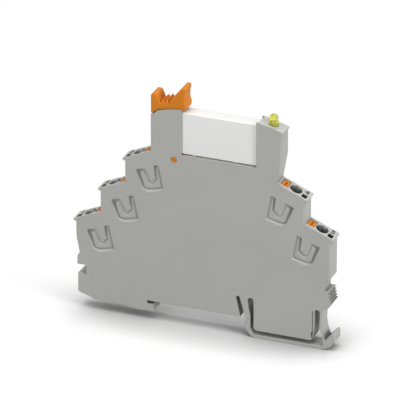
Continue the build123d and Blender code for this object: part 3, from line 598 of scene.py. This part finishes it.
# The finished object, on its body and with its finish. Edges sharper than the given angle (degrees) stay sharp
def addPiece(name, mesh, finish, body, replaced=(), sharp=38):
    mesh.polygons.foreach_set("use_smooth", np.ones(len(mesh.polygons), bool))
    mesh.set_sharp_from_angle(angle=radians(sharp))
    mesh.materials.clear()
    mesh.materials.append(finish)
    piece = bpy.data.objects.new(name, mesh)
    bpy.context.collection.objects.link(piece)
    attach(piece, body)
    if replaced:
        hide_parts(*replaced)


# Axes for rings that climb along Z, along X, or towards the front
upward = ((1, 0, 0), (0, 1, 0), (0, 0, 1))
rightward = ((0, 1, 0), (0, 0, 1), (1, 0, 0))
forward = ((1, 0, 0), (0, 0, 1), (0, -1, 0))

print("stage 4: relay cover")

relayShell = {"wall": 0.45 * mm, "corner": 0.55 * mm, "leastCorner": 0.06 * mm, "foot": 0.2 * mm,
              "rim": 0.55 * mm, "rimSteps": 7}


# Down the inside of the wall, out under it, up the outside and over the rounded rim
def addRelayShell():
    low, high = [np.array(corner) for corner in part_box("relay_case")]
    half = (high - low) / 2
    rim = relayShell["rim"]
    wall = relayShell["wall"]
    angle = np.linspace(0, pi / 2, relayShell["rimSteps"])
    foot = relayShell["foot"]
    inset = np.concatenate([[wall, wall, foot, 0.0, 0.0], rim * (1 - np.cos(angle[1:]))])
    height = np.concatenate([[2 * half[2] - wall, 0.0, 0.0, foot, 2 * half[2] - rim],
                             2 * half[2] - rim * (1 - np.sin(angle[1:]))])
    corner = np.maximum(relayShell["corner"] - inset, relayShell["leastCorner"])
    rings = roundedRings(half[0] - inset, half[1] - inset, corner, height)
    base = [(low[0] + high[0]) / 2, (low[1] + high[1]) / 2, low[2]]
    mesh = shellMesh("relayShell", [placed(rings, base, upward)])
    addPiece("relayShell", mesh, relayWhite, bodyOf["relay_case"], ["relay_case"])


addRelayShell()

print("stage 5: release lever")

# All in mm, with the corners anticlockwise as seen from the front. Those of the head are measured along from
# its left side and up from the tower's top, and each has its own rounding
leverHead = {
    "thickness": 5.9, "rim": 0.28, "wingHeight": 7.8,
    "corners": [
        (0.0, -2.75, 0.4), (0.85, -2.8, 0.2), (2.1, -1.45, 0.3), (4.2, -0.82, 1.0),           # underside
        (6.6, -0.3, 1.2), (9.0, -0.02, 1.0), (11.2, 0.12, 0.1), (11.35, -0.35, 0.2),
        (12.25, -0.3, 0.35), (12.6, 1.2, 0.4), (12.0, 3.0, 1.2), (12.0, 4.9, 1.2),            # right end
        (12.35, 7.0, 0.6), (12.3, 7.8, 0.5), (10.85, 7.8, 0.6), (10.4, 6.9, 0.4),             # wing
        (9.6, 6.0, 0.5), (7.9, 4.0, 1.0), (7.0, 2.9, 0.4),
        (6.6, 1.25, 0.08), (5.95, 2.75, 0.12), (5.55, 2.7, 0.12), (5.05, 1.2, 0.08),          # ridges
        (4.4, 2.35, 0.12), (4.0, 2.3, 0.12), (3.35, 1.2, 0.1),
        (2.8, 2.5, 0.5), (2.35, 3.7, 0.6), (1.8, 4.3, 0.5), (0.6, 4.3, 0.45), (0.0, 3.85, 0.3),
    ],
}
# Measured from the pivot: round the hub's lower half, out along the toe and back, up the arm's right side
# and over to the tail on the left
leverArm = {
    "thickness": 3.3, "rim": 0.15, "rounding": 0.3, "hub": 1.9, "hubSteps": 7,
    "toe": [(1.9, 1.4), (5.6, 1.7), (5.6, 2.4), (1.25, 2.4)],
    "arm": [(1.05, 4.2), (1.05, 19.4), (-8.0, 18.1), (-8.0, 15.0), (-5.3, 14.4)],
}
leverPivot = {"radius": 1.0, "rim": 0.12, "length": 6.16, "steps": 9}


# Head, arm with its toe, and pivot pin, each a shell of its own, run into one
def addLeverSkin():
    low, high = [np.array(corner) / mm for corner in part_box("release_lever")]
    swing = next(joint for joint in frame["joints"] if joint["name"] == "lever_swing")
    pivot = np.array(swing["pos_m"]) / mm
    headCorners = np.array(leverHead["corners"])
    headOutline = headCorners[:, :2] + (low[0], high[2] - leverHead["wingHeight"])
    half = leverHead["thickness"] / 2
    head = plateRings(headOutline, headCorners[:, 2], -half, half, leverHead["rim"])

    angle = np.linspace(pi, 2 * pi, leverArm["hubSteps"])
    hub = leverArm["hub"] * np.stack([np.cos(angle), np.sin(angle)], axis=-1)
    armOutline = np.concatenate([hub, leverArm["toe"], leverArm["arm"]]) + (pivot[0], pivot[2])
    half = leverArm["thickness"] / 2
    armPlate = plateRings(armOutline, leverArm["rounding"], -half, half, leverArm["rim"])

    rim = leverPivot["rim"]
    half = leverPivot["length"] / 2
    radius = leverPivot["radius"] - np.array([rim, 0, 0, rim])
    depth = [-half, rim - half, half - rim, half]
    pin = roundedRings(radius, radius, radius, depth, steps=leverPivot["steps"])
    pin = pin + (pivot[0], pivot[2], 0)
    shells = [placed(rings * mm, (0, 0, 0), forward) for rings in (head, armPlate, pin)]
    mesh = fusedMesh("leverSkin", shells)
    addPiece("leverSkin", mesh, leverOrange, bodyOf["release_lever"], ["release_lever"])


addLeverSkin()

print("stage 6: terminals")

# Places on a terminal. All sizes of this stage are in mm, and depths are below the label face
terminal = {"entryDepth": 3.7, "tipToEntry": 5.5, "entryToButton": 3.95, "entryToDigit": -3.6}


# Origin on the label face above the wire entry, u inwards from the tip, v across, w out of the face
def terminalFrame(name):
    mounts = {mount["name"]: mount for mount in frame["record"]["mounts"]}
    entry = mounts["wire_entry_" + name]
    w = np.array(entry["axis"], float)
    side = np.sign(w[0])
    u = side * np.array([-w[2], 0, w[0]])
    origin = np.array(entry["pos_m"]) + w * terminal["entryDepth"] * mm
    return origin, np.stack([u, np.cross(w, u), w])


button = {"length": 2.6, "width": 4.1, "sunk": 0.25, "depth": 8.75, "corner": 0.3, "leastCorner": 0.05,
          "rim": 0.28, "rimSteps": 5, "shankCorner": 0.25, "foot": 0.1, "footCorner": 0.2,
          "slotLength": 2.9, "slotWidth": 0.8, "slotDepth": 0.7, "slotCorner": 0.1,
          "slotRim": 0.12, "slotRimCorner": 0.16,
          "collarTop": 6.6, "collarBottom": 7.05, "collarReach": 0.45, "steps": 5}


# A button's rings: up the outside past the collar, round the rim, in to the slot and down to its floor
def addButton(name):
    origin, axes = terminalFrame(name)
    b = button
    halfX = b["length"] / 2
    halfY = b["width"] / 2
    angle = np.linspace(0, pi / 2, b["rimSteps"])
    rimInset = b["rim"] * (1 - np.cos(angle))
    rimHeight = -b["sunk"] - b["rim"] * (1 - np.sin(angle))
    foot = b["foot"]
    shank = b["shankCorner"]
    collar = b["collarReach"] / 2
    rows = [(halfX - foot, halfY - foot, b["footCorner"], -b["depth"], 0.0),
            (halfX, halfY, shank, foot - b["depth"], 0.0),
            (halfX, halfY, shank, -b["collarBottom"], 0.0),
            (halfX + collar, halfY, shank, -b["collarBottom"], -collar),
            (halfX + collar, halfY, shank, -b["collarTop"], -collar),
            (halfX, halfY, b["corner"], -b["collarTop"], 0.0)]
    rows += [(halfX - inset, halfY - inset, max(b["corner"] - inset, b["leastCorner"]), height, 0.0)
             for inset, height in zip(rimInset, rimHeight)]
    slotX = b["slotWidth"] / 2
    slotY = b["slotLength"] / 2
    slotRim = b["slotRim"]
    rows += [(slotX + slotRim, slotY + slotRim, b["slotRimCorner"], -b["sunk"], 0.0),
             (slotX, slotY, b["slotCorner"], -b["sunk"] - slotRim, 0.0),
             (slotX, slotY, b["slotCorner"], -b["sunk"] - b["slotDepth"], 0.0)]
    halfXs, halfYs, radii, heights, shifts = np.array(rows).T
    rings = roundedRings(halfXs, halfYs, radii, heights, shifts, steps=b["steps"])
    rings = rings + (terminal["entryToButton"], 0, 0)
    mesh = shellMesh("pushButton_" + name, [placed(rings * mm, origin, axes)])
    addPiece("pushButton_" + name, mesh, buttonOrange, bodyOf["button_" + name],
             ["button_" + name])


sleeve = {"outer": 1.84, "wall": 0.07, "flare": 0.42, "flareDepth": 0.9, "top": 0.1, "bottom": 6.4,
          "steps": 10}
bridgeLiner = {"fromEntry": -3.65, "across": 1.25, "halfX": 0.94, "halfY": 1.14, "corner": 0.15,
               "wall": 0.06, "top": 0.25, "floor": 2.2, "steps": 4}


# Dark metal seen in the openings: a thin sleeve down the wire entry and a cup down the bridge slot. Their
# dark colour is painted shade inside the holes
def addEntryMetal(name):
    origin, axes = terminalFrame(name)
    outer = sleeve["outer"]
    inner = outer - sleeve["wall"]
    flare = sleeve["flare"]
    radius = np.array([inner, inner, inner + flare, outer + flare, outer, outer])
    height = -np.array([sleeve["bottom"], sleeve["flareDepth"], sleeve["top"], sleeve["top"],
                        sleeve["flareDepth"], sleeve["bottom"]])
    tube = roundedRings(radius, radius, radius, height, steps=sleeve["steps"])
    liner = bridgeLiner
    wall = liner["wall"]
    inset = np.array([0, 0, wall, wall])
    height = -np.array([liner["floor"] + wall, liner["top"], liner["top"], liner["floor"]])
    cup = roundedRings(liner["halfX"] - inset, liner["halfY"] - inset, liner["corner"] - inset, height,
                       steps=liner["steps"])
    frontSide = -axes[1][1] * liner["across"]
    cup = cup + (liner["fromEntry"], frontSide, 0)
    mesh = shellMesh("bridgeMetal_" + name, [placed(cup * mm, origin, axes)])
    addPiece("bridgeMetal_" + name, mesh, paintedShadeMetal, "base")
    mesh = closedTube("entryMetal_" + name, placed(tube * mm, origin, axes))
    addPiece("entryMetal_" + name, mesh, paintedShadeMetal, "base")


# The moulded window under each terminal, in mm from the tip along the label face and below it. Each corner
# has its place, the width of the sloped lip, the width of the deep groove inside it and how much shade is
# painted into the groove. The widths and the painted shade change evenly from corner to corner
windowTrim = {
    "corners": [
        (3.0, 5.0, 0.03, 0.95, 0.75), (2.9, 12.2, 0.1, 0.3, 0.4), (4.6, 14.1, 0.9, 0.3, 0.3),
        (10.2, 14.5, 0.4, 0.3, 0.2), (11.8, 5.4, 0.1, 0.25, 0.1), (9.9, 5.2, 0.05, 0.6, 0.7),
        (8.5, 9.8, 0.15, 0.2, 0.4), (7.0, 9.9, 1.1, 0.0, 0.1), (6.7, 5.1, 0.9, 0.1, 0.2),
    ],
    "along": (2.4, 12.4), "below": (4.5, 16.0), "spacing": 0.08,      # the grid of points
    "back": 0.59, "flush": 0.008,                                     # depths behind the front face
    "lipDepth": 0.38, "deep": 0.56, "floor": 0.24,
    "steep": 0.08, "rise": 0.5, "cornerBlend": 0.22,                  # widths over which the depths change
    "sharp": 50,
}


# Depth of the trim. The distances to the sides give a softened least one:
# d = -blend log(sum of exp(-distance / blend))
# With l and g the widths of the lip and the groove there, the lip slopes to its depth at d = l, the groove is
# deep up to d = l + g, then the floor rises again. Outside the window the trim lies all but flush with the
# front face. The painted shade grows with the depth below the window's floor
def windowDepth(along, below):
    trim = windowTrim
    corners = np.array(trim["corners"])
    start = corners[:, :2]
    side = np.roll(start, -1, axis=0) - start
    offset = np.stack([along, below], axis=-1)[..., None, :] - start
    share = np.clip((offset * side).sum(-1) / (side ** 2).sum(-1), 0, 1)
    distance = np.linalg.norm(offset - share[..., None] * side, axis=-1)
    weight = np.exp(-distance / trim["cornerBlend"])
    soft = -trim["cornerBlend"] * np.log(weight.sum(-1))
    weight = weight / weight.sum(-1, keepdims=True)
    widths = corners[:, 2:] + share[..., None] * (np.roll(corners, -1, axis=0) - corners)[:, 2:]
    lip = (widths[..., 0] * weight).sum(-1)
    groove = (widths[..., 1] * weight).sum(-1)
    dark = (widths[..., 2] * weight).sum(-1)
    crossing = (start[:, 1] > below[..., None]) != (np.roll(start, -1, axis=0)[:, 1] > below[..., None])
    slope = side[:, 0] / side[:, 1]
    leftOf = along[..., None] < start[:, 0] + slope * (below[..., None] - start[:, 1])
    inside = (crossing & leftOf).sum(-1) % 2 == 1
    wall = trim["lipDepth"] * np.clip(soft / lip, 0, 1)
    wall = wall + (trim["deep"] - trim["lipDepth"]) * np.clip((soft - lip) / trim["steep"], 0, 1)
    climb = np.clip((soft - lip - groove) / trim["rise"], 0, 1)
    bottom = trim["deep"] + (trim["floor"] - trim["deep"]) * climb ** 2 * (3 - 2 * climb)
    depth = np.where(inside, np.maximum(np.minimum(wall, bottom), trim["flush"]), trim["flush"])
    return depth, dark * np.clip((depth - trim["floor"]) / (trim["deep"] - trim["floor"]), 0, 1)


# A grid of points carved to that depth, with a flat back and a wall round the edge
def addWindowTrim(name):
    origin, axes = terminalFrame(name)
    trim = windowTrim
    spacing = trim["spacing"]
    along = np.arange(trim["along"][0], trim["along"][1] + spacing / 2, spacing)
    below = np.arange(trim["below"][0], trim["below"][1] + spacing / 2, spacing)
    a, b = np.meshgrid(along, below, indexing="ij")
    front, shade = windowDepth(a, b)
    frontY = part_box("housing")[0][1] / mm
    flat = placed(np.stack([a - terminal["tipToEntry"], 0 * a, -b], axis=-1) * mm, origin, axes)
    layers = np.stack([flat, flat])
    layers[0, ..., 1] = (frontY + front) * mm
    layers[1, ..., 1] = (frontY + trim["back"]) * mm
    rows, columns = a.shape
    grid = np.arange(rows * columns).reshape(rows, columns)
    quads = np.stack([grid[:-1, :-1], grid[1:, :-1], grid[1:, 1:], grid[:-1, 1:]], axis=-1).reshape(-1, 4)
    edge = np.concatenate([grid[:-1, 0], grid[-1, :-1], grid[:0:-1, -1], grid[0, :0:-1]])
    onward = np.roll(edge, -1)
    count = rows * columns
    walls = np.stack([edge, edge + count, onward + count, onward], axis=-1)
    faces = np.concatenate([quads, quads[:, ::-1] + count, walls])
    mesh = bpy.data.meshes.new("windowTrim_" + name)
    mesh.from_pydata(layers.reshape(-1, 3).tolist(), [], faces.tolist())
    mendMesh(mesh, turn=True)
    # The painted shade goes into an attribute that darkens the trim's colour
    mark = mesh.attributes.new("windowPaintedShade", "FLOAT", "POINT")
    mark.data.foreach_set("value", np.concatenate([shade.ravel(), 0 * shade.ravel()]).astype(np.float32))
    addPiece("windowTrim_" + name, mesh, windowGreyPaintedShade, "base", sharp=trim["sharp"])


digit = {"size": 3.1, "bold": 0.14, "raised": 0.02, "thick": 0.03, "across": 1.5, "curveSteps": 3,
         "weld": 0.01, "sharp": 30}


# A plain number beside the bridge slot, upright to someone in front of the module
def addDigit(name, text):
    origin, axes = terminalFrame(name)
    curve = bpy.data.curves.new("digitCurve", "FONT")
    curve.body = text
    curve.size = digit["size"]
    curve.align_x = "CENTER"
    curve.align_y = "CENTER"
    curve.extrude = digit["thick"] / 2
    curve.offset = digit["bold"]
    curve.resolution_u = digit["curveSteps"]
    helper = bpy.data.objects.new("digitHelper", curve)
    bpy.context.collection.objects.link(helper)
    graph = bpy.context.evaluated_depsgraph_get()
    mesh = bpy.data.meshes.new_from_object(helper.evaluated_get(graph))
    bpy.data.objects.remove(helper)
    mesh.name = "digit_" + name
    points = np.empty(len(mesh.vertices) * 3, np.float32)
    mesh.vertices.foreach_get("co", points)
    points = points.reshape(-1, 3)
    along = 1 if axes[0][0] > 0 else -1
    flat = points * (along, along, 1) + (terminal["entryToDigit"], along * digit["across"], digit["raised"])
    mesh.vertices.foreach_set("co", placed(flat * mm, origin, axes).astype(np.float32).ravel())
    mendMesh(mesh, turn=True, weld=digit["weld"] * mm)
    addPiece("digit_" + name, mesh, printGrey, "base", sharp=digit["sharp"])


terminalNames = ["left_lower", "left_middle", "left_upper", "right_upper", "right_lower"]
for number, terminalName in enumerate(terminalNames, start=1):
    addButton(terminalName)
    addEntryMetal(terminalName)
    addWindowTrim(terminalName)
    addDigit(terminalName, str(number))

print("stage 7: lamp")

# In mm. The cup's profile is its radius and its height above the flange: up the outside, over the brim and
# down to the cup's floor. The post has its half width, its half depth and the rounding of its edges, and two
# heights above the flange. Both start a little above the lens's foot
lamp = {"radius": 1.5, "flange": 1.75, "flangeHeight": 0.9, "flangeRim": 0.08, "foot": 1.3, "tip": 0.02,
        "domeSteps": 12, "steps": 10, "sharp": 30}
lampMetal = {
    "cup": [(0.3, 0.2), (0.576, 0.4), (0.72, 1.1), (0.64, 1.1), (0.35, 0.6), (0.3, 0.6)],
    "lead": 0.25, "foot": 0.2, "cupShift": -0.35, "cupSteps": 7,
    "post": (0.28, 0.2, 0.06), "postHeights": (0.8, 1.25), "postShift": 0.75, "postSteps": 4,
}


# The lens from its foot up round the flange to the dome's tip, and the metal seen through it
def addLamp():
    low, high = [np.array(corner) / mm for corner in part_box("led")]
    middle = (low + high) / 2
    seat = low[2] + lamp["foot"]
    r = lamp["radius"]
    angle = np.linspace(0, pi / 2, lamp["domeSteps"])[:-1]
    domeRadius = np.append(r * np.cos(angle), lamp["tip"])
    domeHeight = np.append(high[2] - r + r * np.sin(angle), high[2])
    wide = lamp["flange"]
    soft = lamp["flangeRim"]
    radius = np.concatenate([[r, r, wide - soft, wide, wide, wide - soft, r], domeRadius])
    rim = seat + lamp["flangeHeight"]
    height = np.concatenate([[low[2], seat, seat, seat + soft, rim - soft, rim, rim], domeHeight])
    rings = roundedRings(radius, radius, radius, height, steps=lamp["steps"]) + (middle[0], 0, 0)
    mesh = shellMesh("lampLensBody", [placed(rings * mm, (0, 0, 0), upward)])
    addPiece("lampLensBody", mesh, lampLens, "base", ["led"], sharp=lamp["sharp"])

    # Reflector cup on one lead and the post on the other
    foot = low[2] + lampMetal["foot"]
    cupRadius, cupHeight = np.array(lampMetal["cup"]).T
    radius = np.append(lampMetal["lead"], cupRadius)
    height = np.append(foot, rim + cupHeight)
    cupRings = roundedRings(radius, radius, radius, height, steps=lampMetal["cupSteps"])
    cupRings = cupRings + (middle[0] + lampMetal["cupShift"], 0, 0)
    postHeight = np.append(foot, rim + np.array(lampMetal["postHeights"]))
    postRings = roundedRings(*lampMetal["post"], postHeight, steps=lampMetal["postSteps"])
    postRings = postRings + (middle[0] + lampMetal["postShift"], 0, 0)
    mesh = shellMesh("lampCup", [placed(shell * mm, (0, 0, 0), upward) for shell in (cupRings, postRings)])
    addPiece("lampCup", mesh, tinnedMetal, "base")


addLamp()

print("stage 8: coil winding")

coil = {"pitch": 0.2, "bulge": 0.06, "corner": 1.2, "ringsPerTurn": 5, "steps": 7, "sharp": 80}      # mm


# Turns of wire seen from outside: each half size is the winding's, less bulge (1 - |sin(pi x / pitch)|)
def addCoil():
    low, high = [np.array(corner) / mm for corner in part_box("winding")]
    half = (high - low) / 2
    turns = round((high[0] - low[0]) / coil["pitch"])
    x = np.linspace(low[0], high[0], turns * coil["ringsPerTurn"] + 1)
    dip = coil["bulge"] * (1 - np.abs(np.sin(pi * (x - low[0]) / coil["pitch"])))
    rings = roundedRings(half[1] - dip, half[2] - dip, coil["corner"] - dip, x, steps=coil["steps"])
    rings = rings + ((low[1] + high[1]) / 2, (low[2] + high[2]) / 2, 0)
    mesh = shellMesh("coilTurns", [placed(rings * mm, (0, 0, 0), rightward)])
    addPiece("coilTurns", mesh, copperWire, bodyOf["winding"], ["winding"],
             sharp=coil["sharp"])


addCoil()
